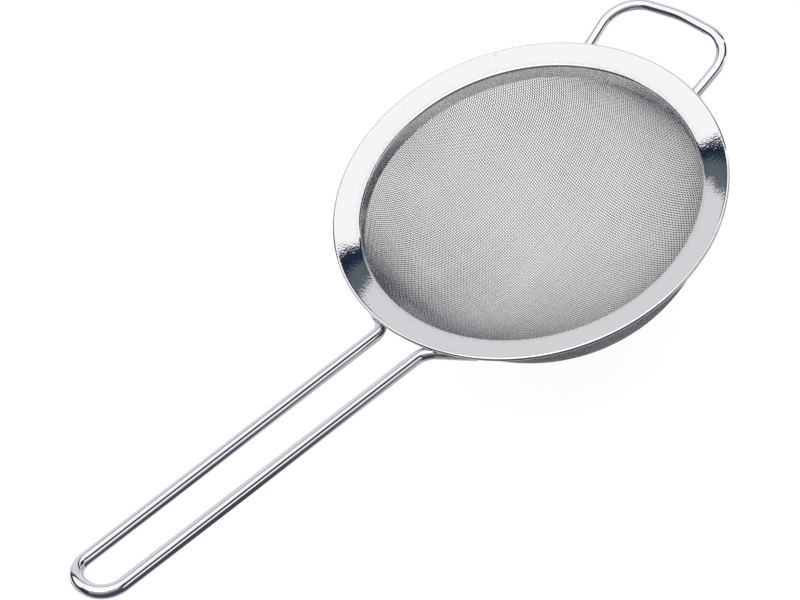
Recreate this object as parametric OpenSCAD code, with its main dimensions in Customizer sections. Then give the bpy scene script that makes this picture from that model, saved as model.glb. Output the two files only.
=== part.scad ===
// Kitchen sieve: a woven wire bowl clamped in a pressed rim, with a bent wire handle and a wire rest loop.
// The origin is the centre of the mouth, where the straight neck of the rim begins.
// +Z points up out of the mouth and the handle runs along -X.

/* [Rim] */
// Diameter over the rolled edge
rim_d = 180; // [150:1:240]
// Width of the flange, from the mouth out to the rolled edge
flange_w = 12.5; // [12:0.5:30]
// Height of the straight neck wall
neck_h = 6.5; // [4:0.5:12]
// Thickness of the sheet metal
sheet_t = 0.6; // [0.4:0.1:0.8]
// Outside radius of the bend between the neck and the flange
bend_r = 1.5; // [1.2:0.1:3]
// Slope of the flange, down towards the mouth, in degrees
flange_slope = 14; // [0:1:20]
// Diameter of the rolled edge
roll_d = 2; // [1.8:0.1:3]

/* [Mesh bowl] */
// Depth of the bowl below the neck
bowl_depth = 62; // [30:1:70]
// Diameter of one mesh wire
mesh_wire_d = 0.34; // [0.3:0.01:0.4]
// Distance between neighbouring wires that run across the handle
warp_pitch = 1.06; // [0.9:0.01:4]
// Distance between neighbouring wires that run along the handle
weft_pitch = 1.0; // [0.9:0.01:4]
// Turn of the weave from the line of the handle, in degrees
weave_turn = -4; // [-45:1:45]
// Thickness of each layer of mesh where it is pressed flat in the clamp
edge_t = 0.5; // [0.45:0.01:0.6]
// Height of the pressed mesh edge
edge_h = 4; // [2:0.5:4]
// Thickness of the hoop that clamps the mesh
hoop_t = 0.8; // [0.5:0.1:1.5]

/* [Handle] */
// Diameter of the wire of the handle and the rest loop
wire_d = 6; // [4:0.5:6]
// Length of the handle from the rim to its end
handle_l = 191; // [100:1:240]
// Width between the wire centres of the handle at the rim
handle_w_rim = 24; // [18:1:40]
// Width between the wire centres of the handle at its end
handle_w_end = 22.2; // [18:0.2:40]
// Rise of the handle away from the rim, in degrees
handle_rise = 15.7; // [5:0.1:20]
// Radius of the bend where the handle meets the rim
root_bend_r = 10; // [8:1:14]
// Length of each handle end that lies under the rim
tail_l = 24; // [20:1:30]
// Lean of the handle's ends, in towards the mouth from the line across the handle, in degrees
tail_lean = 28; // [24:1:32]
// Distance from the rolled edge in to the tip of each handle end, between their middles
tail_tuck = 4.5; // [3.5:0.5:5.5]
// Distance from that tip back to the weld
weld_run = 18; // [12:1:19]

/* [Rest loop] */
// Reach of the rest loop beyond the rim
loop_l = 32; // [25:1:45]
// Width between the wire centres of the loop at the rim
loop_w_rim = 61; // [50:1:80]
// Width between the wire centres at the loop's corners
loop_w_end = 66; // [50:1:80]
// Radius of the loop's corners
loop_corner_r = 17; // [8:1:20]
// Outward bow of the loop's end bar
loop_bow = 3.3; // [1:0.1:6]
// Rise of the loop away from the rim, in degrees
loop_rise = 7.5; // [0:0.5:10]
// Turn of the loop about the mouth, off the line of the handle, in degrees
loop_turn = 1.7; // [-5:0.1:5]

/* [Hidden] */

// Gap between the pressed layers in the clamp
press_gap = 0.1;
// Gap between a wire and the metal that it is welded to
weld_gap = 0.05;
// Gap between the two layers of mesh at the bottom of the bowl
weave_gap = 0.02;
// Metal stretches a little thinner in a bend. Straight wire laps into its bends by bend_lap, and
// a bend in the sheet runs on into the straight sheet by lap_turn degrees.
bend_thin = 0.02;
bend_lap = 0.2;
lap_turn = 4;
round_fn = 180;
wire_fn = 32;

// Neck, flange and rolled edge, as radius and height of the sheet's middle line
rim_r = rim_d / 2;
mouth_r = rim_r - flange_w;
bend_mid_r = bend_r - sheet_t / 2;
bend_at = [mouth_r + bend_r, 0];
roll_mid_r = (roll_d - sheet_t) / 2;
uphill = [cos(flange_slope), sin(flange_slope)];
upward = [-sin(flange_slope), cos(flange_slope)];
flange_in = bend_at + bend_mid_r * upward;
roll_r = rim_r - (roll_d - bend_thin) / 2;
flange_l = (roll_r + roll_mid_r * upward.x - flange_in.x) / uphill.x;
flange_out = flange_in + flange_l * uphill;
roll_at = flange_out - roll_mid_r * upward;
// Angle at which the curl of the rolled edge ends, under the flange
roll_open_turn = 190;

// Layers in the clamp, from the neck outwards
warp_edge_r = mouth_r + sheet_t + press_gap + edge_t / 2;
weft_edge_r = warp_edge_r + edge_t + press_gap;
hoop_in_r = weft_edge_r + edge_t / 2 + press_gap;
hoop_out_r = hoop_in_r + hoop_t;
edge_low = -neck_h;
seam_z = edge_low + mesh_wire_d;

// Width of whole cloth left below the clamp, which ties the wires to their pressed edge, and the share
// of a pitch that the last wire stays inside the clamp
hem = 0.1;
edge_share = 1.2;

// Height of a wire that lies under the rolled edge
under_roll_z = roll_at.y - roll_d / 2 - wire_d / 2 - weld_gap;
weld_d = 2.6;

function unit(v) = v / norm(v);

// Radius of the ball whose cap is 2 a wide and h deep
function cap_r(a, h) = (a * a + h * h) / (2 * h);

// Half the angle between the two straight runs that meet at corner b
function half_angle(a, b, c) = acos(unit(a - b) * unit(c - b)) / 2;

// Flat ring of the sheet's thickness in a bend, about the origin
module bend_ring(r) {
  difference() {
    circle(r = r + (sheet_t - bend_thin) / 2, $fn = 64);
    circle(r = r - (sheet_t - bend_thin) / 2, $fn = 64);
  }
}

// Kite that covers the angles from a0 to a1 about the origin, under half a turn
module wedge(reach, a0, a1) {
  mid = (a0 + a1) / 2;
  polygon([
    [0, 0],
    reach * [cos(a0), sin(a0)],
    2 * reach * [cos(mid), sin(mid)],
    reach * [cos(a1), sin(a1)]
  ]);
}

// Pressed ring: neck, small bend, sloping flange and rolled edge in one sheet
module rim_flange() {
  color([0.86, 0.86, 0.88]) rotate_extrude($fn = round_fn) {
    translate([mouth_r, -neck_h]) square([sheet_t, neck_h]);
    translate(bend_at) intersection() {
      bend_ring(bend_mid_r);
      wedge(2 * bend_r, 90 + flange_slope - lap_turn, 180 + lap_turn);
    }
    polygon([
      flange_in - sheet_t / 2 * upward,
      flange_out - sheet_t / 2 * upward,
      flange_out + sheet_t / 2 * upward,
      flange_in + sheet_t / 2 * upward
    ]);
    translate(roll_at) difference() {
      bend_ring(roll_mid_r);
      wedge(roll_d, 90 + flange_slope + lap_turn, roll_open_turn);
    }
  }
}

// Hoop that clamps the mesh against the neck from outside
module clamp_hoop() {
  hoop_h = neck_h - sheet_t;
  color([0.78, 0.78, 0.8]) translate([0, 0, edge_low]) difference() {
    cylinder(h = hoop_h, r = hoop_out_r, $fn = round_fn);
    translate([0, 0, -1]) cylinder(h = hoop_h + 2, r = hoop_in_r, $fn = round_fn);
  }
}

// One layer of the woven bowl: a thin shell on a ball, slit into wires that are as wide as the shell is
// thick. The slits lie between planes that are spaced so that the wires stay one pitch apart all over
// the bowl. The shell ends in the layer's pressed edge, which lies in the clamp.
module mesh_layer(edge_r, depth, pitch) {
  ball_r = cap_r(edge_r, depth);
  ball_z = seam_z - depth + ball_r;
  step = pitch / ball_r * 180 / PI;
  half_wire = step * mesh_wire_d / pitch / 2;
  count = floor(asin(edge_r / ball_r) / step - edge_share);
  difference() {
    rotate_extrude($fn = round_fn) {
      intersection() {
        translate([0, ball_z]) difference() {
          circle(r = ball_r + mesh_wire_d / 2, $fn = 360);
          circle(r = ball_r - mesh_wire_d / 2, $fn = 360);
        }
        translate([0, seam_z - 2 * ball_r]) square(2 * ball_r);
      }
      translate([edge_r - edge_t / 2, edge_low]) square([edge_t, edge_h]);
    }
    for (i = [-count - 1:count]) {
      from_x = i < -count ? -2 * ball_r : ball_r * sin(i * step + half_wire);
      to_x = i == count ? 2 * ball_r : ball_r * sin((i + 1) * step - half_wire);
      translate([from_x, -2 * ball_r, edge_low - hem - 2 * ball_r])
        cube([to_x - from_x, 4 * ball_r, 2 * ball_r]);
    }
  }
}

// Inner layer: wires across the handle
module warp_wires() {
  color([0.72, 0.72, 0.74]) rotate([0, 0, weave_turn])
    mesh_layer(warp_edge_r, bowl_depth - mesh_wire_d - weave_gap, warp_pitch);
}

// Outer layer: wires along the handle
module weft_wires() {
  color([0.66, 0.66, 0.68]) rotate([0, 0, weave_turn + 90])
    mesh_layer(weft_edge_r, bowl_depth, weft_pitch);
}

// Straight round rod from p to q
module rod(p, q, d) {
  along = unit(q - p);
  side = unit(cross([0, 0, 1], along));
  up = cross(along, side);
  multmatrix([
    [side.x, up.x, along.x, p.x],
    [side.y, up.y, along.y, p.y],
    [side.z, up.z, along.z, p.z],
    [0, 0, 0, 1]
  ])
    cylinder(h = norm(q - p), d = d, $fn = wire_fn);
}

// Round bend of radius r at corner b of the line a-b-c
module elbow(a, b, c, r, d) {
  half = half_angle(a, b, c);
  along = unit(b - a);
  start = b - along * r / tan(half);
  middle = b + unit(unit(a - b) + unit(c - b)) * r / sin(half);
  out = unit(start - middle);
  axis = cross(out, along);
  multmatrix([
    [out.x, along.x, axis.x, middle.x],
    [out.y, along.y, axis.y, middle.y],
    [out.z, along.z, axis.z, middle.z],
    [0, 0, 0, 1]
  ])
    rotate_extrude(angle = 180 - 2 * half, $fn = 96) translate([r, 0]) circle(d = d, $fn = wire_fn);
}

// Wire bent to the line through points, with one bend radius for each inner point
module bent_wire(points, radii, d) {
  last = len(points) - 1;
  bend = [for (i = [0:last]) i == 0 || i == last ? 0 :
    radii[i - 1] / tan(half_angle(points[i - 1], points[i], points[i + 1])) - bend_lap];
  union() {
    for (i = [0:last - 1]) {
      way = unit(points[i + 1] - points[i]);
      rod(points[i] + way * bend[i], points[i + 1] - way * bend[i + 1], d);
    }
    for (i = [1:last - 1]) elbow(points[i - 1], points[i], points[i + 1], radii[i - 1], d - bend_thin);
  }
}

// The handle's ends pass under the rolled edge and run in between the hoop and the edge. Their tips
// lie as high as the rolled edge or the flange above them lets them.
tail_r = roll_r - tail_tuck;
tail_way = [sin(tail_lean), cos(tail_lean)];
root_y = handle_w_rim / 2;
tip_y = root_y + tail_l * tail_way.y;
tip_x = -sqrt(pow(tail_r, 2) - pow(tip_y, 2));
flange_low_z = flange_out.y - (flange_out.x - tail_r) * tan(flange_slope) - sheet_t / 2 / cos(flange_slope);
tip_z = min(under_roll_z, flange_low_z - (wire_d / 2 + weld_gap) / cos(flange_slope));
root_x = tip_x - tail_l * tail_way.x;
end_x = -rim_r - (handle_l - wire_d / 2) * cos(handle_rise);
end_z = under_roll_z + (root_x - end_x) * tan(handle_rise);
// Straight wire between the two bends at the handle's end
end_flat = 1;
end_bend_r = (handle_w_end - end_flat) / 2;

function handle_line(s) = [
  [tip_x, s * tip_y, tip_z],
  [root_x, s * root_y, under_roll_z],
  [end_x, s * handle_w_end / 2, end_z]
];

module handle_shape() {
  near = handle_line(1);
  far = handle_line(-1);
  bent_wire(
    [near[0], near[1], near[2], far[2], far[1], far[0]],
    [root_bend_r, end_bend_r, end_bend_r, root_bend_r],
    wire_d
  );
}

module handle_wire() {
  color([0.8, 0.8, 0.83]) handle_shape();
}

// Filled ring in the place of the rolled edge, cut out of the welds
module rolled_edge() {
  rotate_extrude($fn = round_fn) translate(roll_at) circle(d = roll_d, $fn = 64);
}

// Weld metal squeezed out where the handle's ends pass under the rolled edge
module handle_welds() {
  color([0.6, 0.6, 0.62]) difference() {
    for (s = [-1, 1]) {
      line = handle_line(s);
      spot = line[0] + weld_run * unit(line[1] - line[0]);
      out = unit([spot.x, spot.y]);
      lean = unit([roll_at.x - norm([spot.x, spot.y]), roll_at.y - spot.z]);
      translate(spot + wire_d / 2 * [lean.x * out.x, lean.x * out.y, lean.y]) sphere(d = weld_d, $fn = 48);
    }
    handle_shape();
    rolled_edge();
  }
}

// Rest loop: two legs that run under the rim to the hoop, round corners and a bowed end bar
loop_x = rim_r + (loop_l - wire_d / 2 - loop_bow) * cos(loop_rise);
loop_bar_r = 60;
loop_cross_x = sqrt(pow(roll_r, 2) - pow(loop_w_rim / 2, 2));
loop_in_x = sqrt(pow(hoop_out_r + weld_gap, 2) - pow(loop_w_rim / 2 - wire_d / 2, 2));
function loop_z(x) = under_roll_z - weld_gap + (x - loop_cross_x) * tan(loop_rise);
loop_splay = (loop_w_end - loop_w_rim) / 2 / (loop_x - loop_cross_x);
function loop_leg_y(x) = loop_w_rim / 2 + loop_splay * (x - loop_cross_x);
function loop_point(x, s) = [x, s * loop_leg_y(x), loop_z(x)];

module rest_loop_shape() {
  bar_x = loop_x + loop_bow * cos(loop_rise);
  bent_wire(
    [
      loop_point(loop_in_x, 1),
      loop_point(loop_x, 1),
      [bar_x, 0, loop_z(bar_x)],
      loop_point(loop_x, -1),
      loop_point(loop_in_x, -1)
    ],
    [loop_corner_r, loop_bar_r, loop_corner_r],
    wire_d
  );
}

module rest_loop_wire() {
  color([0.8, 0.8, 0.83]) rotate([0, 0, loop_turn]) rest_loop_shape();
}

// Weld metal squeezed out where the loop's legs pass under the rolled edge
module loop_welds() {
  color([0.6, 0.6, 0.62]) rotate([0, 0, loop_turn]) difference() {
    for (s = [-1, 1]) {
      translate([loop_cross_x, s * loop_w_rim / 2, roll_at.y - roll_d / 2]) sphere(d = weld_d, $fn = 48);
    }
    rest_loop_shape();
    rolled_edge();
  }
}

rim_flange();
clamp_hoop();
warp_wires();
weft_wires();
handle_wire();
rest_loop_wire();
handle_welds();
loop_welds();
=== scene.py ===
import bpy
from math import asin, atan2, ceil, cos, pi, radians, sin, sqrt, tan
from mathutils import Matrix, Vector
from mathutils import noise as grain


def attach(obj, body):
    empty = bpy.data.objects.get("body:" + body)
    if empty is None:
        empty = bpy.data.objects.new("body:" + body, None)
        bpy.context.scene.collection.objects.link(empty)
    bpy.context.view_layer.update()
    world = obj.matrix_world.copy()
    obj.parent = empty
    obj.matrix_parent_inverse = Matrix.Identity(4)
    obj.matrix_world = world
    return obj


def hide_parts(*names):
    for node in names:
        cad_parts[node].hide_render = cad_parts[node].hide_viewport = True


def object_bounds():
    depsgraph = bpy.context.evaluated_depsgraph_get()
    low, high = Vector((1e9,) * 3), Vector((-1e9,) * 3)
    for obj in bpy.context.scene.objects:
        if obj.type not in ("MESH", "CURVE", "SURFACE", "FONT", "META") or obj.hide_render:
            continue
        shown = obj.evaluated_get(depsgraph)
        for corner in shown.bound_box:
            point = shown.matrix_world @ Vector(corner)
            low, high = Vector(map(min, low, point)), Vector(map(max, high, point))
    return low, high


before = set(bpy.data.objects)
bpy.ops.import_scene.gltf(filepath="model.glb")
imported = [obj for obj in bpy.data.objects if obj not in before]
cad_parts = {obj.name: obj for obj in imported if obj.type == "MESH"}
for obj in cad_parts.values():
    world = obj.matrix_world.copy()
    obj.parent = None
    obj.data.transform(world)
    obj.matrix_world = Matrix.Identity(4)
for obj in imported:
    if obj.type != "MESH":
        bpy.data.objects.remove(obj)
cad_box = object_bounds()
MM = 0.001


# Nodes
def fill(tree, socket, value):
    """Links a socket to another, or sets its value."""
    if isinstance(value, bpy.types.NodeSocket):
        tree.links.new(value, socket)
    else:
        socket.default_value = value


def add(tree, kind, inputs=None, **settings):
    """Adds a node with its settings, and fills its inputs."""
    node = tree.nodes.new(kind)
    for key, value in settings.items():
        setattr(node, key, value)
    for key, value in (inputs or {}).items():
        fill(tree, node.inputs[key], value)
    return node


def calc(tree, operation, *values, clamp=False):
    """A math node's result."""
    node = add(tree, "ShaderNodeMath", operation=operation, use_clamp=clamp)
    for socket, value in zip(node.inputs, values):
        fill(tree, socket, value)
    return node.outputs[0]


def joined(tree, x, y, z):
    """A vector of three values."""
    return add(tree, "ShaderNodeCombineXYZ", {"X": x, "Y": y, "Z": z}).outputs[0]


def parts_of(tree, vector):
    return add(tree, "ShaderNodeSeparateXYZ", {0: vector}).outputs


def blend(tree, share, low, high):
    """Mixes two colours by a share from 0 to 1."""
    node = add(tree, "ShaderNodeMix", data_type="RGBA")
    for name, value in (("Factor_Float", share), ("A_Color", low), ("B_Color", high)):
        fill(tree, next(s for s in node.inputs if s.identifier == name), value)
    return next(s for s in node.outputs if s.identifier == "Result_Color")


def spread(tree, value, low, high, to_low=0.0, to_high=1.0):
    """Maps a value from one range to another, smoothly and within bounds."""
    node = add(
        tree,
        "ShaderNodeMapRange",
        {"Value": value, "From Min": low, "From Max": high, "To Min": to_low, "To Max": to_high},
        interpolation_type="SMOOTHSTEP",
    )
    return node.outputs["Result"]


def noise(tree, where, scale, detail=3.0, rough=0.5):
    inputs = {"Vector": where, "Scale": scale, "Detail": detail, "Roughness": rough}
    return add(tree, "ShaderNodeTexNoise", inputs).outputs[0]


def new_group(name, kind, inputs, outputs):
    """A node group with named inputs and outputs, and its two end nodes."""
    tree = bpy.data.node_groups.new(name, kind)
    for label, socket_type, value in inputs:
        socket = tree.interface.new_socket(label, in_out="INPUT", socket_type="NodeSocket" + socket_type)
        if value is not None:
            socket.default_value = value
    for label, socket_type in outputs:
        tree.interface.new_socket(label, in_out="OUTPUT", socket_type="NodeSocket" + socket_type)
    given = tree.nodes.new("NodeGroupInput")
    result = tree.nodes.new("NodeGroupOutput")
    return tree, given.outputs, result.inputs


def use_group(tree, group, inputs):
    """Places a shader group in a material, and gives its outputs."""
    node = tree.nodes.new("ShaderNodeGroup")
    node.node_tree = group
    for key, value in inputs.items():
        fill(tree, node.inputs[key], value)
    return node.outputs


# Effects that the steels share
def round_rim_group():
    """Object coordinates as a place on strokes that run round the rim."""
    tree, given, result = new_group("round_the_rim", "ShaderNodeTree", [
        ("Place", "Vector", None),
        ("Fineness", "Float", 6000.0),
        ("Drift", "Float", 15.0),
    ], [("Stroke Place", "Vector")])
    x, y, z = parts_of(tree, given["Place"])
    level = add(tree, "ShaderNodeVectorMath", {0: joined(tree, x, y, 0.0)}, operation="LENGTH").outputs["Value"]
    out = add(tree, "ShaderNodeVectorMath", {0: joined(tree, x, y, 0.0)}, operation="NORMALIZE").outputs[0]
    out_x, out_y, _ = parts_of(tree, out)
    across = calc(tree, "MULTIPLY_ADD", level, given["Fineness"], calc(tree, "MULTIPLY", out_x, given["Drift"]))
    upward = calc(tree, "MULTIPLY_ADD", z, given["Fineness"], calc(tree, "MULTIPLY", out_y, given["Drift"]))
    tree.links.new(joined(tree, across, upward, calc(tree, "MULTIPLY", out_x, given["Drift"])), result["Stroke Place"])
    return tree


def polish_group():
    """Fine strokes and a slight orange peel that buffing leaves on steel."""
    tree, given, result = new_group("polish_marks", "ShaderNodeTree", [
        ("Place", "Vector", None),
        ("Stroke Place", "Vector", None),
        ("Peel Size", "Float", 1200.0),
        ("Stroke Depth", "Float", 0.3),
    ], [("Height", "Float"), ("Strokes", "Float")])
    strokes = noise(tree, given["Stroke Place"], 1.0, 4.0, 0.6)
    peel = noise(tree, given["Place"], given["Peel Size"], 2.0, 0.5)
    tree.links.new(calc(tree, "MULTIPLY_ADD", strokes, given["Stroke Depth"], peel), result["Height"])
    tree.links.new(spread(tree, strokes, 0.45, 0.7), result["Strokes"])
    return tree


def handling_group():
    """Smears and dull spots that handling and washing leave."""
    tree, given, result = new_group("handling_marks", "ShaderNodeTree", [
        ("Place", "Vector", None),
        ("Size", "Float", 60.0),
        ("Spot Size", "Float", 400.0),
    ], [("Smear", "Float"), ("Spots", "Float")])
    wide = noise(tree, given["Place"], given["Size"], 4.0, 0.6)
    small = noise(tree, given["Place"], given["Spot Size"], 2.0, 0.5)
    smear = spread(tree, wide, 0.42, 0.68)
    tree.links.new(smear, result["Smear"])
    tree.links.new(calc(tree, "MULTIPLY", smear, spread(tree, small, 0.6, 0.72)), result["Spots"])
    return tree


def crevice_shade_group():
    """A patchy mask of painted shade in a band round a given radius: the rim's neck, and where the wires pass under
    the rolled edge.
    """
    tree, given, result = new_group("crevice_painted_shade", "ShaderNodeTree", [
        ("Place", "Vector", None),
        ("Middle Radius", "Float", 0.0885),
        ("Reach", "Float", 0.006),
        ("Scale", "Float", 700.0),
    ], [("Crevice Shade", "Float")])
    x, y, _ = parts_of(tree, given["Place"])
    level = add(tree, "ShaderNodeVectorMath", {0: joined(tree, x, y, 0.0)}, operation="LENGTH").outputs["Value"]
    away = calc(tree, "ABSOLUTE", calc(tree, "SUBTRACT", level, given["Middle Radius"]))
    near = calc(tree, "SUBTRACT", 1.0, calc(tree, "DIVIDE", away, given["Reach"]), clamp=True)
    patchy = spread(tree, noise(tree, given["Place"], given["Scale"], 4.0, 0.6), 0.35, 0.65)
    tree.links.new(calc(tree, "MULTIPLY", calc(tree, "POWER", near, 2.0), patchy), result["Crevice Shade"])
    return tree


ROUND_RIM = round_rim_group()
POLISH = polish_group()
HANDLING = handling_group()
CREVICE_SHADE = crevice_shade_group()


# Materials
def new_material(name, roughness=0.1):
    material = bpy.data.materials.new(name)
    material.use_nodes = True
    tree = material.node_tree
    shader = tree.nodes["Principled BSDF"]
    shader.inputs["Metallic"].default_value = 1.0
    shader.inputs["Roughness"].default_value = roughness
    return material, tree, shader.inputs


def object_place(tree):
    return add(tree, "ShaderNodeTexCoord").outputs["Object"]


def bumped(tree, height, distance, strength=1.0):
    return add(tree, "ShaderNodeBump", {"Height": height, "Distance": distance, "Strength": strength}).outputs[0]


def sheet_steel(name, clean, dull, shine, satin, peel_size, peel_depth, stroke_depth):
    """Sheet metal, polished or brushed round the rim."""
    material, tree, shader = new_material(name)
    place = object_place(tree)
    strokes = use_group(tree, ROUND_RIM, {"Place": place})["Stroke Place"]
    polish = use_group(tree, POLISH, {
        "Place": place, "Stroke Place": strokes, "Peel Size": peel_size, "Stroke Depth": stroke_depth,
    })
    marks = use_group(tree, HANDLING, {"Place": place})
    crevice_shade = use_group(tree, CREVICE_SHADE, {"Place": place, "Middle Radius": 0.0788, "Reach": 0.0025})["Crevice Shade"]
    worn = blend(tree, marks["Spots"], clean, dull)
    # Painted shade: the sheet is darkened towards brown-black in a patchy band round the neck, the hoop beside it
    # included.
    tree.links.new(blend(tree, calc(tree, "MULTIPLY", crevice_shade, 0.25), worn, (0.2, 0.17, 0.15, 1)), shader["Base Color"])
    gloss = calc(tree, "ADD", spread(tree, marks["Smear"], 0.0, 1.0, shine, (shine + satin) / 2),
                 calc(tree, "MULTIPLY", polish["Strokes"], (satin - shine) / 2))
    tree.links.new(gloss, shader["Roughness"])
    tree.links.new(bumped(tree, polish["Height"], peel_depth), shader["Normal"])
    return material


def drawn_steel(name, clean, dull, shine, satin):
    """Drawn wire: fine lines along it, smears, and painted shade where it passes under the rim."""
    material, tree, shader = new_material(name)
    place = object_place(tree)
    on_wire = add(tree, "ShaderNodeAttribute", attribute_name="wire_place").outputs["Vector"]
    lines = add(tree, "ShaderNodeMapping", {"Vector": on_wire, "Scale": (60, 2500, 2500)}).outputs[0]
    polish = use_group(tree, POLISH, {
        "Place": on_wire, "Stroke Place": lines, "Peel Size": 500.0, "Stroke Depth": 0.25,
    })
    marks = use_group(tree, HANDLING, {"Place": place, "Size": 90.0, "Spot Size": 700.0})
    crevice_shade = use_group(tree, CREVICE_SHADE, {"Place": place, "Middle Radius": 0.0885, "Reach": 0.007})["Crevice Shade"]
    worn = blend(tree, marks["Spots"], clean, dull)
    # Painted shade: the wire is darkened, and its roughness raised, in a patchy band where it passes under the rolled
    # edge.
    tree.links.new(blend(tree, calc(tree, "MULTIPLY", crevice_shade, 0.5), worn, (0.16, 0.14, 0.13, 1)), shader["Base Color"])
    gloss = calc(tree, "ADD", spread(tree, marks["Smear"], 0.0, 1.0, shine, satin),
                 calc(tree, "MULTIPLY", crevice_shade, 0.25))
    tree.links.new(gloss, shader["Roughness"])
    tree.links.new(bumped(tree, polish["Height"], 0.00001), shader["Normal"])
    return material


def woven_steel(name, dark, light):
    """Mesh wire: each wire a little different, with smears that change its tone and gloss."""
    material, tree, shader = new_material(name)
    place = object_place(tree)
    wire = add(tree, "ShaderNodeAttribute", attribute_name="wire").outputs["Fac"]
    own = add(tree, "ShaderNodeTexWhiteNoise", {"W": wire}, noise_dimensions="1D").outputs["Value"]
    marks = use_group(tree, HANDLING, {"Place": place, "Size": 35.0, "Spot Size": 1500.0})
    share = calc(tree, "MULTIPLY_ADD", own, 0.5, calc(tree, "MULTIPLY", marks["Smear"], 0.5))
    tree.links.new(blend(tree, share, dark, light), shader["Base Color"])
    tree.links.new(spread(tree, marks["Smear"], 0.0, 1.0, 0.16, 0.28), shader["Roughness"])
    return material


def weld_metal(name):
    material, tree, shader = new_material(name)
    place = object_place(tree)
    crust = noise(tree, place, 1500.0, 5.0, 0.65)
    scale = spread(tree, crust, 0.4, 0.65)
    tree.links.new(blend(tree, scale, (0.16, 0.14, 0.13, 1), (0.42, 0.39, 0.36, 1)), shader["Base Color"])
    tree.links.new(spread(tree, crust, 0.3, 0.7, 0.35, 0.6), shader["Roughness"])
    tree.links.new(bumped(tree, crust, 0.0002), shader["Normal"])
    return material


rim_steel = sheet_steel("polished_rim_steel", (0.63, 0.63, 0.64, 1), (0.55, 0.55, 0.56, 1),
                        0.006, 0.02, 900.0, 0.000018, 0.1)
hoop_steel = sheet_steel("satin_hoop_steel", (0.56, 0.56, 0.57, 1), (0.46, 0.46, 0.47, 1),
                         0.22, 0.4, 900.0, 0.00002, 0.6)
handle_steel = drawn_steel("handle_wire_steel", (0.64, 0.64, 0.66, 1), (0.56, 0.56, 0.58, 1), 0.03, 0.09)
loop_steel = drawn_steel("loop_wire_steel", (0.64, 0.64, 0.66, 1), (0.56, 0.56, 0.58, 1), 0.03, 0.09)
mesh_steel = woven_steel("mesh_wire_steel", (0.185, 0.175, 0.195, 1), (0.355, 0.34, 0.365, 1))
weld_steel = weld_metal("weld_metal")


# Making pieces
def place_piece(name, mesh, slot, *nodes):
    """Adds a mesh as a piece of the object that stands for CAD nodes."""
    piece = bpy.data.objects.new(name, mesh)
    bpy.context.collection.objects.link(piece)
    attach(piece, "root")
    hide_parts(*nodes)
    return piece


def smoothed(mesh, sharp=radians(40)):
    mesh.shade_smooth()
    mesh.set_sharp_from_angle(angle=sharp)
    return mesh


def revolved(name, outline, turns, material, shape=None):
    """A closed outline of (radius, height) turned round Z. shape may move each point a little."""
    count = len(outline)
    points = []
    for i in range(turns):
        angle = 2 * pi * i / turns
        for radius, height in outline:
            point = Vector((radius * cos(angle), radius * sin(angle), height))
            points.append(shape(point, angle) if shape else point)
    faces = []
    for i in range(turns):
        a, b = i * count, (i + 1) % turns * count
        for j in range(count):
            k = (j + 1) % count
            faces.append((a + j, b + j, b + k, a + k))
    mesh = bpy.data.meshes.new(name)
    mesh.from_pydata(points, [], faces)
    mesh.materials.append(material)
    return smoothed(mesh)


def grown(name, tree, values, source=None):
    """Runs a geometry tree on a curve or an empty mesh and keeps the result as a plain mesh."""
    data = source or bpy.data.meshes.new(name + "_maker")
    holder = bpy.data.objects.new(name + "_maker", data)
    bpy.context.collection.objects.link(holder)
    modifier = holder.modifiers.new("grow", "NODES")
    modifier.node_group = tree
    names = {s.name: s.identifier for s in tree.interface.items_tree if s.in_out == "INPUT"}
    for label, value in values.items():
        modifier[names[label]] = value
    seen = holder.evaluated_get(bpy.context.evaluated_depsgraph_get())
    mesh = bpy.data.meshes.new_from_object(seen)
    mesh.name = name
    holder.modifiers.remove(modifier)
    bpy.data.objects.remove(holder)
    return mesh


# Pressed rim, clamp hoop and the mesh edge between them
MOUTH_R = 77.5 * MM
NECK_H = 6.5 * MM
SHEET_T = 0.6 * MM
BEND_R = 1.5 * MM
FLANGE_SLOPE = radians(14)
# The flange leaves the bend a little steeper than it meets the rolled edge
FLANGE_CROWN = radians(1.6)
RIM_R = 90 * MM
ROLL_D = 2 * MM
ROLL_CURL = radians(274)
# Slight waves and dents that pressing leaves in the flange
WAVE_SIZE = 38 * MM
WAVE_DEPTH = 0.10 * MM
DENT_SIZE = 7 * MM
DENT_DEPTH = 0.012 * MM
PRESS_GAP = 0.1 * MM
EDGE_T = 0.5 * MM
EDGE_H = 4 * MM
HOOP_T = 0.8 * MM


def rim_outline():
    """The rim's sheet, walked along its middle line from the foot of the neck to the end of the curl."""
    bend_r = BEND_R - SHEET_T / 2
    roll_r = (ROLL_D - SHEET_T) / 2
    inner, outer = FLANGE_SLOPE + FLANGE_CROWN, FLANGE_SLOPE - FLANGE_CROWN
    flange_start = MOUTH_R + BEND_R - bend_r * sin(inner)
    flange_end = RIM_R - ROLL_D / 2 - roll_r * sin(outer)
    stretches = (
        (NECK_H, 0.0, 5),
        (bend_r * (pi / 2 - inner), inner - pi / 2, 12),
        ((flange_end - flange_start) / cos(FLANGE_SLOPE), outer - inner, 22),
        (roll_r * ROLL_CURL, -ROLL_CURL, 24),
    )
    radius, height, heading = MOUTH_R + SHEET_T / 2, -NECK_H, pi / 2
    line = [(radius, height, heading)]
    for length, turn, steps in stretches:
        for _ in range(steps):
            heading += turn / steps / 2
            radius += length / steps * cos(heading)
            height += length / steps * sin(heading)
            heading += turn / steps / 2
            line.append((radius, height, heading))
    half = SHEET_T / 2
    upper = [(r - half * sin(h), z + half * cos(h)) for r, z, h in line]
    lower = [(r + half * sin(h), z - half * cos(h)) for r, z, h in line]
    return upper[::-1] + lower


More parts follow.
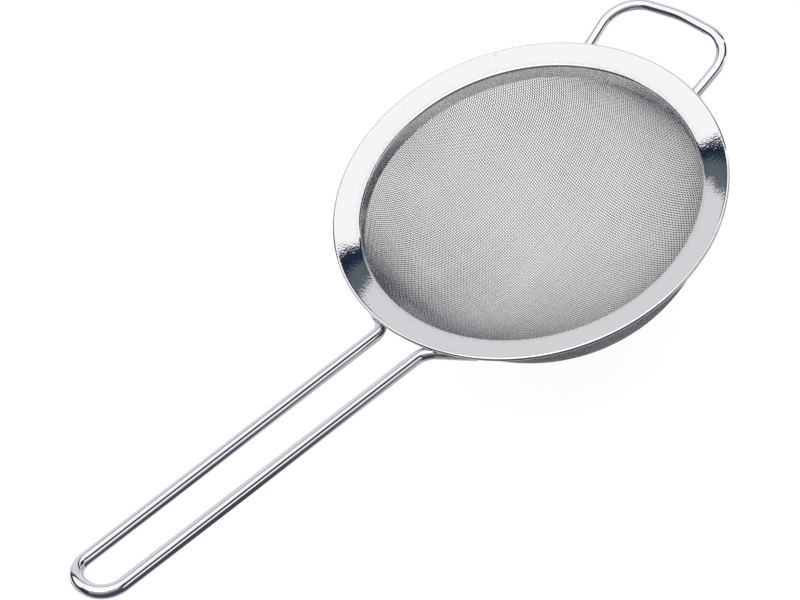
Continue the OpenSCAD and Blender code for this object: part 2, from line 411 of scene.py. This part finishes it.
def pressed(point, angle):
    """Lifts a point of the flange by the waves and dents left by pressing, and leaves the neck true."""
    level = sqrt(point.x**2 + point.y**2)
    share = min(max((level - MOUTH_R - BEND_R) / (4 * MM), 0.0), 1.0)
    wave = grain.noise(Vector((point.x, point.y, 0)) / WAVE_SIZE)
    dent = grain.noise(Vector((point.x, point.y, WAVE_SIZE)) / DENT_SIZE)
    return point + Vector((0, 0, share * (WAVE_DEPTH * wave + DENT_DEPTH * dent)))


def rounded_band(inner, outer, low, high, corner, steps=4):
    """Outline of a band with rounded corners."""
    outline = []
    for radius, height, start in (
        (inner + corner, low + corner, pi),
        (outer - corner, low + corner, 1.5 * pi),
        (outer - corner, high - corner, 0.0),
        (inner + corner, high - corner, 0.5 * pi),
    ):
        for i in range(steps + 1):
            angle = start + pi / 2 * i / steps
            outline.append((radius + corner * cos(angle), height + corner * sin(angle)))
    return outline


def make_rim():
    place_piece("pressed_rim", revolved("pressed_rim", rim_outline(), 600, rim_steel, pressed),
                "rim_sheet", "rim_flange")


EDGE_IN = MOUTH_R + SHEET_T + PRESS_GAP
EDGE_OUT = EDGE_IN + 2 * EDGE_T + PRESS_GAP
EDGE_RIB = 0.07 * MM


def ribbed(point, angle):
    """The flattened wires that show as ribs on the pressed mesh edge."""
    level = sqrt(point.x**2 + point.y**2)
    ribs = round(2 * pi * EDGE_IN / (1.0 * MM))
    inward = (EDGE_IN + EDGE_OUT) / 2 - level
    shrink = EDGE_RIB * (0.5 + 0.5 * sin(ribs * angle)) * (1 if inward > 0 else -1)
    return Vector((point.x, point.y, 0)) * (1 + shrink / level) + Vector((0, 0, point.z))


def make_clamp():
    band = rounded_band(EDGE_IN, EDGE_OUT, -NECK_H, EDGE_H - NECK_H, 0.1 * MM, 1)
    place_piece("pressed_mesh_edge", revolved("pressed_mesh_edge", band, 4000, mesh_steel, ribbed),
                "mesh_wire", "warp_wires", "weft_wires")
    hoop_in = EDGE_OUT + PRESS_GAP
    band = rounded_band(hoop_in, hoop_in + HOOP_T, -NECK_H, -SHEET_T, 0.2 * MM)
    place_piece("clamp_hoop_band", revolved("clamp_hoop_band", band, 480, hoop_steel), "hoop_sheet", "clamp_hoop")


# Woven bowl
# The cloth lies on a ball between the CAD model's two layers of wires. Wires that run one way stay
# one pitch apart all over the ball, and each goes over and under the wires that cross it. Half way
# down, the bowl is a little fuller than the ball and bulges to one side, as the photograph shows.
CLOTH_EDGE_R = 78.75 * MM
CLOTH_DEPTH = 61.8 * MM
SEAM_Z = -6.16 * MM
BALL_R = (CLOTH_EDGE_R**2 + CLOTH_DEPTH**2) / (2 * CLOTH_DEPTH)
BALL_Z = SEAM_Z - CLOTH_DEPTH + BALL_R
FULLNESS = 0.028
BULGE = (3.8 * MM, -1.0 * MM, 0)
WARP_PITCH = 1.06 * MM
WEFT_PITCH = 1.0 * MM
MESH_WIRE_D = 0.34 * MM
CRIMP = 0.17 * MM
WEAVE_TURN = radians(-4)


def weave_tree():
    """Wires of one direction of the cloth, crimped over and under the ones that cross them."""
    tree, given, result = new_group(
        "woven_wires",
        "GeometryNodeTree",
        [
            ("Ball Radius", "Float", 0.08),
            ("Ball Height", "Float", 0.0),
            ("Edge Radius", "Float", 0.078),
            ("Seam Height", "Float", -0.006),
            ("Bowl Depth", "Float", 0.06),
            ("Fullness", "Float", 0.0),
            ("Bulge", "Vector", (0, 0, 0)),
            ("Pitch", "Float", 0.001),
            ("Cross Pitch", "Float", 0.001),
            ("Wire Diameter", "Float", 0.0003),
            ("Crimp", "Float", 0.0002),
            ("Flat Share", "Float", 0.2),
            ("First Wire", "Int", 0),
            ("Wires", "Int", 10),
            ("Crossings", "Int", 100),
            ("Turn", "Float", 0.0),
            ("Sides", "Int", 5),
            ("Material", "Material", None),
        ],
        [("Geometry", "Geometry")],
    )

    def m(*values):
        return calc(tree, *values)

    # Two samples for each crossing, one on each side of it
    row = m("ADD", m("MULTIPLY", given["Crossings"], 4.0), 2.0)
    index = add(tree, "GeometryNodeInputIndex").outputs[0]
    row_index = m("FLOOR", m("DIVIDE", m("ADD", index, 0.5), row))
    wire = m("ADD", row_index, given["First Wire"])
    place = m("SUBTRACT", index, m("MULTIPLY", row, row_index))
    crossing = m("SUBTRACT", m("FLOOR", m("DIVIDE", m("ADD", place, 0.5), 2.0)), given["Crossings"])
    after = m("FLOORED_MODULO", place, 2.0)
    side = m("SUBTRACT", m("MULTIPLY", after, 2.0), 1.0)
    along = m("ADD", crossing, m("MULTIPLY", side, given["Flat Share"]))

    radius = given["Ball Radius"]
    across_angle = m("DIVIDE", m("MULTIPLY", wire, given["Pitch"]), radius)
    x = m("MULTIPLY", radius, m("SINE", across_angle))
    far_y = m("SQRT", m("MAXIMUM", m("SUBTRACT", m("POWER", given["Edge Radius"], 2.0), m("POWER", x, 2.0)), 0.0))
    far_angle = m("ARCSINE", m("DIVIDE", far_y, radius))
    angle = m("DIVIDE", m("MULTIPLY", along, given["Cross Pitch"]), radius)
    size = m("ABSOLUTE", angle)
    way = m("SIGN", angle)

    # A sample past the clamp moves back to it, and those beyond it go
    outward = m("COMPARE", side, way, 0.5)
    gap = m("MULTIPLY", 2.0, given["Flat Share"])
    step = m("ADD", m("MULTIPLY", outward, gap),
             m("MULTIPLY", m("SUBTRACT", 1.0, outward), m("SUBTRACT", 1.0, gap)))
    before = m("SUBTRACT", size, m("DIVIDE", m("MULTIPLY", step, given["Cross Pitch"]), radius))
    gone = m("GREATER_THAN", before, m("SUBTRACT", far_angle, 0.0005))
    y = m("MULTIPLY", radius, m("SINE", m("MULTIPLY", way, m("MINIMUM", size, far_angle))))

    level = m("SUBTRACT", m("SUBTRACT", m("POWER", radius, 2.0), m("POWER", x, 2.0)), m("POWER", y, 2.0))
    drop = m("SQRT", m("MAXIMUM", level, 0.0))
    parity = m("FLOORED_MODULO", m("ADD", wire, crossing), 2.0)
    lift = m("MULTIPLY", m("SUBTRACT", m("MULTIPLY", parity, 2.0), 1.0), given["Crimp"])
    grow = m("ADD", 1.0, m("DIVIDE", lift, radius))
    height = m("SUBTRACT", given["Ball Height"], m("MULTIPLY", drop, grow))

    # The bulge is nothing at the clamp and at the bottom, and full half way down
    share = m("DIVIDE", m("SUBTRACT", given["Seam Height"], height), given["Bowl Depth"])
    share = calc(tree, "ADD", share, 0.0, clamp=True)
    swell = m("MULTIPLY", m("MULTIPLY", share, 4.0), m("SUBTRACT", 1.0, share))
    grow = m("MULTIPLY", grow, m("ADD", 1.0, m("MULTIPLY", swell, given["Fullness"])))
    spot = joined(tree, m("MULTIPLY", x, grow), m("MULTIPLY", y, grow), height)
    turned = add(tree, "ShaderNodeVectorRotate", {"Vector": spot, "Angle": given["Turn"]}, rotation_type="Z_AXIS")
    aside = add(tree, "ShaderNodeVectorMath", {0: given["Bulge"], "Scale": swell}, operation="SCALE")
    final = add(tree, "ShaderNodeVectorMath", {0: turned.outputs[0], 1: aside.outputs[0]}, operation="ADD")

    points = add(tree, "GeometryNodePoints", {"Count": m("MULTIPLY", row, given["Wires"])})
    tree.links.new(final.outputs[0], points.inputs["Position"])
    named = points.outputs[0]
    for label, value in (("gone", gone), ("wire", wire)):
        named = add(tree, "GeometryNodeStoreNamedAttribute", {"Geometry": named, "Name": label, "Value": value},
                    data_type="FLOAT", domain="POINT").outputs[0]
    past = add(tree, "GeometryNodeInputNamedAttribute", {"Name": "gone"}, data_type="FLOAT").outputs[0]
    owner = add(tree, "GeometryNodeInputNamedAttribute", {"Name": "wire"}, data_type="FLOAT").outputs[0]
    trimmed = add(tree, "GeometryNodeDeleteGeometry",
                  {"Geometry": named, "Selection": m("GREATER_THAN", past, 0.5)}, domain="POINT")
    lines = add(tree, "GeometryNodePointsToCurves",
                {"Points": trimmed.outputs[0], "Curve Group ID": m("ADD", owner, 1000.0)})
    profile = add(tree, "GeometryNodeCurvePrimitiveCircle",
                  {"Resolution": given["Sides"], "Radius": m("MULTIPLY", given["Wire Diameter"], 0.5)})
    tubes = add(tree, "GeometryNodeCurveToMesh",
                {"Curve": lines.outputs[0], "Profile Curve": profile.outputs[0], "Fill Caps": True})
    finish_tree(tree, tubes.outputs[0], given, result)
    return tree


def finish_tree(tree, shape, given, result):
    """Smooth, real and painted: how each geometry tree here ends."""
    smooth = add(tree, "GeometryNodeSetShadeSmooth", {"Geometry": shape})
    solid = add(tree, "GeometryNodeRealizeInstances", {"Geometry": smooth.outputs[0]})
    painted = add(tree, "GeometryNodeSetMaterial", {"Geometry": solid.outputs[0], "Material": given["Material"]})
    tree.links.new(painted.outputs[0], result["Geometry"])


def make_cloth():
    tree = weave_tree()
    half_angle = asin(CLOTH_EDGE_R / BALL_R)
    for side, pitch, cross, turn, crimp, node in (
        ("warp", WARP_PITCH, WEFT_PITCH, WEAVE_TURN, CRIMP, "warp_wires"),
        ("weft", WEFT_PITCH, WARP_PITCH, WEAVE_TURN + pi / 2, -CRIMP, "weft_wires"),
    ):
        reach = int(half_angle * BALL_R / pitch - 0.6)
        crossings = int(half_angle * BALL_R / cross) + 1
        quarters = 4
        total = 2 * reach + 1
        start = -reach
        for k in range(quarters):
            wires = total // quarters + (1 if k < total % quarters else 0)
            name = f"woven_{side}_{k + 1}"
            mesh = grown(name, tree, {
                "Ball Radius": BALL_R,
                "Ball Height": BALL_Z,
                "Edge Radius": CLOTH_EDGE_R,
                "Seam Height": SEAM_Z,
                "Bowl Depth": CLOTH_DEPTH,
                "Fullness": FULLNESS,
                "Bulge": BULGE,
                "Pitch": pitch,
                "Cross Pitch": cross,
                "Wire Diameter": MESH_WIRE_D,
                "Crimp": crimp,
                "Flat Share": 0.2,
                "First Wire": start,
                "Wires": wires,
                "Crossings": crossings,
                "Turn": turn,
                "Sides": 5,
                "Material": mesh_steel,
            })
            place_piece(name, mesh, "mesh_wire", node)
            start += wires


# Handle and rest loop, each one bent wire
WIRE_D = 6 * MM
HANDLE_L = 191 * MM
HANDLE_W_RIM = 24 * MM
HANDLE_W_END = 22.2 * MM
HANDLE_RISE = radians(15.7)
ROOT_BEND_R = 10 * MM
TAIL_L = 24 * MM
TAIL_LEAN = radians(28)
TAIL_TUCK = 4.5 * MM
LOOP_L = 32 * MM
LOOP_W_RIM = 61 * MM
LOOP_W_END = 66 * MM
LOOP_CORNER_R = 17 * MM
LOOP_BOW = 3.3 * MM
LOOP_BAR_R = 60 * MM
LOOP_RISE = radians(7.5)
LOOP_TURN = radians(1.7)
WELD_GAP = 0.05 * MM
BEND_STEP = radians(5)
RUN_STEP = 4 * MM
END_ROUND = 0.5 * MM
WIRE_SWAY = 0.05 * MM
ROLL_R = 89.01 * MM
ROLL_Z = 3.01 * MM
UNDER_ROLL_Z = ROLL_Z - ROLL_D / 2 - WIRE_D / 2 - WELD_GAP


def wire_tree():
    """A wire swept along a curve, a little uneven, with rounded-off ends."""
    tree, given, result = new_group("bent_wire", "GeometryNodeTree", [
        ("Curve", "Geometry", None),
        ("Wire Diameter", "Float", 0.006),
        ("Sides", "Int", 48),
        ("End Rounding", "Float", 0.0005),
        ("Sway", "Float", 0.00005),
        ("Sway Scale", "Float", 25.0),
        ("Material", "Material", None),
    ], [("Geometry", "Geometry")])
    run = add(tree, "GeometryNodeSplineParameter").outputs["Length"]
    whole = add(tree, "GeometryNodeSplineLength").outputs["Length"]
    named = add(tree, "GeometryNodeStoreNamedAttribute", {"Geometry": given["Curve"], "Name": "along", "Value": run},
                data_type="FLOAT", domain="POINT").outputs[0]
    place = add(tree, "GeometryNodeInputPosition").outputs[0]
    sway = add(tree, "ShaderNodeTexNoise", {"Vector": place, "Scale": given["Sway Scale"], "Detail": 2.0}).outputs[1]
    centred = add(tree, "ShaderNodeVectorMath", {0: sway, 1: (0.5, 0.5, 0.5)}, operation="SUBTRACT").outputs[0]
    offset = add(tree, "ShaderNodeVectorMath", {0: centred, "Scale": given["Sway"]}, operation="SCALE").outputs[0]
    swayed = add(tree, "GeometryNodeSetPosition", {"Geometry": named, "Offset": offset}).outputs[0]
    from_end = calc(tree, "MINIMUM", run, calc(tree, "SUBTRACT", whole, run))
    inset = calc(tree, "SUBTRACT", 1.0, calc(tree, "DIVIDE", from_end, given["End Rounding"]), clamp=True)
    round_off = calc(tree, "SQRT", calc(tree, "SUBTRACT", 1.0001, calc(tree, "POWER", inset, 2.0)))
    lost = calc(tree, "MULTIPLY", calc(tree, "SUBTRACT", 1.0, round_off),
                calc(tree, "DIVIDE", given["End Rounding"], calc(tree, "MULTIPLY", given["Wire Diameter"], 0.5)))
    profile = add(tree, "GeometryNodeCurvePrimitiveCircle",
                  {"Resolution": given["Sides"], "Radius": calc(tree, "MULTIPLY", given["Wire Diameter"], 0.5)})
    round_place = add(tree, "GeometryNodeInputPosition").outputs[0]
    ring = add(tree, "GeometryNodeStoreNamedAttribute",
               {"Geometry": profile.outputs[0], "Name": "around", "Value": round_place},
               data_type="FLOAT_VECTOR", domain="POINT").outputs[0]
    tube = add(tree, "GeometryNodeCurveToMesh",
               {"Curve": swayed, "Profile Curve": ring, "Scale": calc(tree, "SUBTRACT", 1.0, lost), "Fill Caps": True})
    far = add(tree, "GeometryNodeInputNamedAttribute", {"Name": "along"}, data_type="FLOAT").outputs[0]
    about = add(tree, "GeometryNodeInputNamedAttribute", {"Name": "around"}, data_type="FLOAT_VECTOR").outputs[0]
    about_x, about_y, _ = parts_of(tree, about)
    stored = add(tree, "GeometryNodeStoreNamedAttribute",
                 {"Geometry": tube.outputs[0], "Name": "wire_place", "Value": joined(tree, far, about_x, about_y)},
                 data_type="FLOAT_VECTOR", domain="POINT").outputs[0]
    finish_tree(tree, stored, given, result)
    return tree


def bent_line(corners, radii):
    """Points along straight runs with a round bend at each inner corner."""
    line = [corners[0]]

    def run_to(point):
        start = line[-1]
        length = (point - start).length
        steps = max(1, ceil(length / RUN_STEP))
        line.extend(start + (point - start) * i / steps for i in range(1, steps + 1))

    for before, corner, after, radius in zip(corners, corners[1:], corners[2:], radii):
        back, ahead = (before - corner).normalized(), (after - corner).normalized()
        half = back.angle(ahead) / 2
        start = corner + back * radius / tan(half)
        middle = corner + (back + ahead).normalized() * radius / sin(half)
        run_to(start)
        spoke = start - middle
        axis = back.cross(ahead).normalized()
        sweep = pi - 2 * half
        steps = max(2, ceil(sweep / BEND_STEP))
        for i in range(1, steps + 1):
            line.append(middle + Matrix.Rotation(-sweep * i / steps, 3, axis) @ spoke)
    run_to(corners[-1])

    # Extra points where the ends are rounded off
    start_way = (line[1] - line[0]).normalized()
    end_way = (line[-2] - line[-1]).normalized()
    shares = (0.0, 0.15, 0.35, 0.65, 1.0)
    head = [line[0] + start_way * END_ROUND * share for share in shares]
    tail = [line[-1] + end_way * END_ROUND * share for share in reversed(shares)]
    return head + line[1:-1] + tail


def handle_corners():
    tail_r = ROLL_R - TAIL_TUCK
    root_y = HANDLE_W_RIM / 2
    tip_y = root_y + TAIL_L * cos(TAIL_LEAN)
    tip_x = -sqrt(tail_r**2 - tip_y**2)
    root_x = tip_x - TAIL_L * sin(TAIL_LEAN)
    end_x = -RIM_R - (HANDLE_L - WIRE_D / 2) * cos(HANDLE_RISE)
    end_z = UNDER_ROLL_Z + (root_x - end_x) * tan(HANDLE_RISE)
    near = [
        Vector((tip_x, tip_y, tail_tip_z())),
        Vector((root_x, root_y, UNDER_ROLL_Z)),
        Vector((end_x, HANDLE_W_END / 2, end_z)),
    ]
    far = [Vector((p.x, -p.y, p.z)) for p in reversed(near)]
    return near + far


def tail_tip_z():
    """The tips lie under the flange, as high as it lets them."""
    tail_r = ROLL_R - TAIL_TUCK
    flange_end_z = ROLL_Z + (ROLL_D - SHEET_T) / 2 * cos(FLANGE_SLOPE)
    flange_end_r = ROLL_R - (ROLL_D - SHEET_T) / 2 * sin(FLANGE_SLOPE)
    low = flange_end_z - (flange_end_r - tail_r) * tan(FLANGE_SLOPE) - SHEET_T / 2 / cos(FLANGE_SLOPE)
    return min(UNDER_ROLL_Z, low - (WIRE_D / 2 + WELD_GAP) / cos(FLANGE_SLOPE))


def loop_corners():
    hoop_out = EDGE_OUT + PRESS_GAP + HOOP_T
    bar_start = RIM_R + (LOOP_L - WIRE_D / 2 - LOOP_BOW) * cos(LOOP_RISE)
    bar_x = bar_start + LOOP_BOW * cos(LOOP_RISE)
    cross_x = sqrt(ROLL_R**2 - (LOOP_W_RIM / 2)**2)
    in_x = sqrt((hoop_out + WELD_GAP)**2 - (LOOP_W_RIM / 2 - WIRE_D / 2)**2)
    splay = (LOOP_W_END - LOOP_W_RIM) / 2 / (bar_start - cross_x)

    def height(x):
        return UNDER_ROLL_Z - WELD_GAP + (x - cross_x) * tan(LOOP_RISE)

    def leg(x, side):
        return Vector((x, side * (LOOP_W_RIM / 2 + splay * (x - cross_x)), height(x)))

    corners = [leg(in_x, 1), leg(bar_start, 1), Vector((bar_x, 0, height(bar_x))), leg(bar_start, -1), leg(in_x, -1)]
    turn = Matrix.Rotation(LOOP_TURN, 3, "Z")
    return [turn @ corner for corner in corners]


def make_wires():
    tree = wire_tree()
    end_bend = (HANDLE_W_END - 1 * MM) / 2
    for name, corners, radii, material, slot, node in (
        ("bent_handle", handle_corners(), (ROOT_BEND_R, end_bend, end_bend, ROOT_BEND_R),
         handle_steel, "handle_steel", "handle_wire"),
        ("bent_rest_loop", loop_corners(), (LOOP_CORNER_R, LOOP_BAR_R, LOOP_CORNER_R),
         loop_steel, "loop_steel", "rest_loop_wire"),
    ):
        line = bent_line(corners, radii)
        curve = bpy.data.curves.new(name + "_line", "CURVE")
        curve.dimensions = "3D"
        spline = curve.splines.new("POLY")
        spline.points.add(len(line) - 1)
        for point, place in zip(spline.points, line):
            point.co = (*place, 1)
        mesh = grown(name, tree, {
            "Wire Diameter": WIRE_D,
            "Sides": 48,
            "End Rounding": END_ROUND,
            "Sway": WIRE_SWAY,
            "Sway Scale": 25.0,
            "Material": material,
        }, curve)
        place_piece(name, smoothed(mesh), slot, node)


def paint_welds():
    for node in ("handle_welds", "loop_welds"):
        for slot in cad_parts[node].material_slots:
            slot.material = weld_steel


make_rim()
make_clamp()
make_cloth()
make_wires()
paint_welds()


# Camera, at the photograph's viewing angle
VIEW_AZIMUTH = -2.2282
VIEW_HEIGHT = 0.8616
VIEW_ROLL = -0.3070
VIEW_RANGE = 1.2
TURN_RIGHT = -0.0476
TURN_UP = -0.0389
LENS = 121.16
RIM_CENTRE = Vector((0, 0, 2.88 * MM))


def make_camera():
    back = Vector((cos(VIEW_HEIGHT) * cos(VIEW_AZIMUTH), cos(VIEW_HEIGHT) * sin(VIEW_AZIMUTH), sin(VIEW_HEIGHT)))
    ahead = -back
    right = ahead.cross(Vector((0, 0, 1))).normalized()
    up = right.cross(ahead)
    right, up = (
        cos(VIEW_ROLL) * right + sin(VIEW_ROLL) * up,
        cos(VIEW_ROLL) * up - sin(VIEW_ROLL) * right,
    )
    right, ahead = (
        cos(TURN_RIGHT) * right - sin(TURN_RIGHT) * ahead,
        sin(TURN_RIGHT) * right + cos(TURN_RIGHT) * ahead,
    )
    up, ahead = (
        cos(TURN_UP) * up - sin(TURN_UP) * ahead,
        sin(TURN_UP) * up + cos(TURN_UP) * ahead,
    )
    data = bpy.data.cameras.new("camera")
    data.lens = LENS
    data.sensor_width = 36
    data.clip_start = 0.01
    data.clip_end = 20
    camera = bpy.data.objects.new("camera", data)
    camera.matrix_world = Matrix((
        (right.x, up.x, -ahead.x, 0),
        (right.y, up.y, -ahead.y, 0),
        (right.z, up.z, -ahead.z, 0),
        (0, 0, 0, 1),
    ))
    camera.location = RIM_CENTRE + back * VIEW_RANGE
    bpy.context.collection.objects.link(camera)
    bpy.context.scene.camera = camera


make_camera()


# Studio: a pale floor, a white light all round and overhead, and a pale wall panel behind the object
# with a dark gap round its arched edge. Dark flags stand beside the wall, and the floor ends in front
# of the object, on the side that the photograph was taken from. The polished steel shows all of them.
CAMERA_SIDE = Vector((cos(VIEW_AZIMUTH), sin(VIEW_AZIMUTH), 0))
WALL_AZIMUTH = radians(50)
WALL_MIDDLE = Vector((cos(WALL_AZIMUTH), sin(WALL_AZIMUTH), 0))
WALL_LEFT = Vector((-sin(WALL_AZIMUTH), cos(WALL_AZIMUTH), 0))
WALL_HALF_TURN = radians(52)
WALL_TOP = radians(47)
WALL_ARCH = 2.5
# Lowest and highest turn from the wall's middle, lowest and highest elevation, in degrees
FLAGS = (
    (-103, -80, 15, 37),
    (-84, -56, -90, 30),
    (46, 100, -90, 25),
    (96, 128, -90, 42),
)
FLAG_SOFT = radians(1.5)
FLOOR_FRONT = 0.26
FLOOR_SHADOW_FRONT = 0.12
FLOOR_SHADOW_HALF = 0.12
FLOOR_HALF = 3.0
LIGHT_WHITE = (1.45, 1.45, 1.46, 1)
LIGHT_BRIGHT = (2.7, 2.7, 2.7, 1)
WALL_GREY = (1.03, 1.0, 1.03, 1)
WALL_DIM = (0.62, 0.6, 0.63, 1)
GAP_SLATE = (0.15, 0.18, 0.21, 1)
GAP_NAVY = (0.02, 0.035, 0.07, 1)
FLOOR_WHITE = (1.4, 1.4, 1.4, 1)
FLOOR_LILAC = (0.70, 0.65, 0.68, 1)
ROOM_DARK = (0.08, 0.09, 0.12, 1)
ROOM_GREY = (0.6, 0.59, 0.6, 1)


def share_along(tree, place, way):
    """How far a place or direction reaches along a level way."""
    node = add(tree, "ShaderNodeVectorMath", {0: place}, operation="DOT_PRODUCT")
    node.inputs[1].default_value = way
    return node.outputs["Value"]


def camera_sees(tree, end_kind, other, seen):
    """One shader for the camera and another for what the metal reflects."""
    path = add(tree, "ShaderNodeLightPath").outputs["Is Camera Ray"]
    both = add(tree, "ShaderNodeMixShader", {0: path, 1: other, 2: seen})
    end = add(tree, end_kind)
    tree.links.new(both.outputs[0], end.inputs["Surface"])


def make_floor():
    height = cad_box[0].z
    half = FLOOR_HALF
    mesh = bpy.data.meshes.new("floor")
    mesh.from_pydata([(-half, -half, height), (half, -half, height), (half, half, height), (-half, half, height)],
                     [], [(0, 1, 2, 3)])
    floor = bpy.data.objects.new("floor", mesh)
    bpy.context.collection.objects.link(floor)

    material = bpy.data.materials.new("pale_floor")
    material.use_nodes = True
    tree = material.node_tree
    tree.nodes.clear()
    front = share_along(tree, object_place(tree), CAMERA_SIDE)
    mirrored = blend(tree, spread(tree, front, -0.02, 0.04), FLOOR_WHITE, FLOOR_LILAC)
    mirrored = blend(tree, spread(tree, front, FLOOR_FRONT - 0.02, FLOOR_FRONT + 0.03), mirrored, ROOM_DARK)
    # A painted shadow: in what the metal reflects, the floor is dark in a strip just in front of the object.
    off = calc(tree, "ABSOLUTE", share_along(tree, object_place(tree), WALL_LEFT))
    near = calc(tree, "MULTIPLY", spread(tree, front, FLOOR_SHADOW_FRONT - 0.01, FLOOR_SHADOW_FRONT + 0.02),
                spread(tree, off, FLOOR_SHADOW_HALF, FLOOR_SHADOW_HALF + 0.05, 1.0, 0.0))
    mirrored = blend(tree, near, mirrored, ROOM_DARK)
    reflected = add(tree, "ShaderNodeEmission", {"Color": mirrored, "Strength": 1.0})
    matt = add(tree, "ShaderNodeBsdfDiffuse", {"Color": (0.16, 0.16, 0.16, 1)})
    glow = add(tree, "ShaderNodeEmission", {"Color": (1, 1, 1, 1), "Strength": 0.9})
    seen = add(tree, "ShaderNodeAddShader", {0: matt.outputs[0], 1: glow.outputs[0]})
    camera_sees(tree, "ShaderNodeOutputMaterial", reflected.outputs[0], seen.outputs[0])
    mesh.materials.append(material)


def between(tree, value, low, high):
    """1 where a value lies between two bounds, with soft edges."""
    above = spread(tree, value, low - FLAG_SOFT, low + FLAG_SOFT)
    below = spread(tree, value, high - FLAG_SOFT, high + FLAG_SOFT, 1.0, 0.0)
    return calc(tree, "MULTIPLY", above, below)


def make_room():
    world = bpy.data.worlds.new("studio")
    bpy.context.scene.world = world
    world.use_nodes = True
    tree = world.node_tree
    tree.nodes.clear()
    way = add(tree, "ShaderNodeTexCoord").outputs["Generated"]
    rise = calc(tree, "ARCSINE", parts_of(tree, way)[2])
    turn = calc(tree, "ARCTAN2", share_along(tree, way, WALL_LEFT), share_along(tree, way, WALL_MIDDLE))
    aside = calc(tree, "ABSOLUTE", turn)

    # 1 along the wall panel's arched edge, less inside it
    reach = calc(tree, "ADD",
                 calc(tree, "POWER", calc(tree, "DIVIDE", aside, WALL_HALF_TURN), WALL_ARCH),
                 calc(tree, "POWER", calc(tree, "DIVIDE", calc(tree, "MAXIMUM", rise, 0.0), WALL_TOP), WALL_ARCH))
    colour = blend(tree, spread(tree, aside, radians(22), radians(46)), WALL_GREY, WALL_DIM)
    colour = blend(tree, spread(tree, reach, 0.66, 0.70), colour, GAP_SLATE)
    colour = blend(tree, spread(tree, reach, 0.84, 0.87), colour, GAP_NAVY)
    colour = blend(tree, spread(tree, reach, 1.02, 1.04), colour, LIGHT_WHITE)
    for low_turn, high_turn, low_rise, high_rise in FLAGS:
        flag = calc(tree, "MULTIPLY", between(tree, turn, radians(low_turn), radians(high_turn)),
                    between(tree, rise, radians(low_rise), radians(high_rise)))
        colour = blend(tree, flag, colour, GAP_NAVY)
    sides = spread(tree, aside, radians(86), radians(94))
    band = calc(tree, "MULTIPLY", sides, between(tree, rise, radians(16), radians(45)))
    colour = blend(tree, band, colour, ROOM_DARK)
    low = calc(tree, "MULTIPLY", sides, spread(tree, rise, radians(-4), radians(0), 1.0, 0.0))
    colour = blend(tree, low, colour, ROOM_DARK)
    upward = blend(tree, spread(tree, rise, radians(12), radians(45)), ROOM_DARK, ROOM_GREY)
    colour = blend(tree, spread(tree, aside, radians(118), radians(132)), colour, upward)
    overhead = calc(tree, "MULTIPLY", spread(tree, aside, radians(80), radians(100)),
                    spread(tree, rise, radians(54), radians(66)))
    colour = blend(tree, overhead, colour, LIGHT_BRIGHT)
    light = add(tree, "ShaderNodeBackground", {"Color": colour, "Strength": 1.0})
    seen = add(tree, "ShaderNodeBackground", {"Color": (1, 1, 1, 1), "Strength": 1.0})
    camera_sees(tree, "ShaderNodeOutputWorld", light.outputs[0], seen.outputs[0])
    bpy.context.scene.view_settings.view_transform = "Standard"


make_floor()
make_room()
